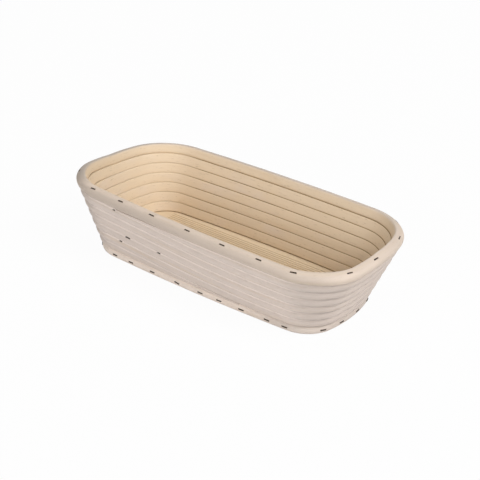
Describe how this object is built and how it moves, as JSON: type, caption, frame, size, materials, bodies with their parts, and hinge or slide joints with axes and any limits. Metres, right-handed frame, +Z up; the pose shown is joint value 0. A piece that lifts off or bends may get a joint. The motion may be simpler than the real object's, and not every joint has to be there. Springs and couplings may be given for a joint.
{
  "type": "proofing basket",
  "caption": "Long rounded-rectangle proofing basket of wound rattan cane on a grooved wooden floor, leaning outwards to a thicker stapled rim; holds a loaf of dough while it rises.",
  "frame": {"origin": "on the standing plane, under the middle of the floor board", "axes": "+X along the basket's length, +Y across it towards the side with the rim's joint, +Z up out of its mouth"},
  "size_m": [0.3538, 0.1786, 0.0823],
  "materials": {
    "floor_wood": "bare pale wood with fine lengthwise grooves",
    "foot_cane": "bare peeled rattan core, a little darker than the wall",
    "wall_cane": "bare peeled rattan core, matt, with fine lengthwise fibres",
    "rim_cane": "bare peeled rattan core, matt, with fine lengthwise fibres",
    "staple_wire": "dark oxidised flat steel wire"
  },
  "bodies": {
    "root": {"floor_board": "floor_wood", "foot_cane": "foot_cane", "wall_cane": "wall_cane", "rim_cane": "rim_cane", "foot_staple_01": "staple_wire", "foot_staple_02": "staple_wire", "foot_staple_03": "staple_wire", "foot_staple_04": "staple_wire", "foot_staple_05": "staple_wire", "foot_staple_06": "staple_wire", "foot_staple_07": "staple_wire", "foot_staple_08": "staple_wire", "foot_staple_09": "staple_wire", "foot_staple_10": "staple_wire", "foot_staple_11": "staple_wire", "foot_staple_12": "staple_wire", "foot_staple_13": "staple_wire", "foot_staple_14": "staple_wire", "foot_staple_15": "staple_wire", "foot_staple_16": "staple_wire", "foot_staple_17": "staple_wire", "foot_staple_18": "staple_wire", "foot_staple_19": "staple_wire", "foot_staple_20": "staple_wire", "foot_staple_21": "staple_wire", "foot_staple_22": "staple_wire", "foot_staple_23": "staple_wire", "foot_staple_24": "staple_wire", "foot_staple_25": "staple_wire", "foot_staple_26": "staple_wire", "foot_staple_27": "staple_wire", "wall_staple_01": "staple_wire", "wall_staple_02": "staple_wire", "wall_staple_03": "staple_wire", "wall_staple_04": "staple_wire", "rim_staple_01": "staple_wire", "rim_staple_02": "staple_wire", "rim_staple_03": "staple_wire", "rim_staple_04": "staple_wire", "rim_staple_05": "staple_wire", "rim_staple_06": "staple_wire", "rim_staple_07": "staple_wire", "rim_staple_08": "staple_wire", "rim_staple_09": "staple_wire", "rim_staple_10": "staple_wire", "rim_staple_11": "staple_wire", "rim_staple_12": "staple_wire", "rim_staple_13": "staple_wire", "rim_staple_14": "staple_wire", "rim_staple_15": "staple_wire", "rim_staple_16": "staple_wire", "rim_staple_17": "staple_wire", "rim_staple_18": "staple_wire", "rim_staple_19": "staple_wire", "rim_staple_20": "staple_wire", "rim_staple_21": "staple_wire"}
  },
  "joints": []
}
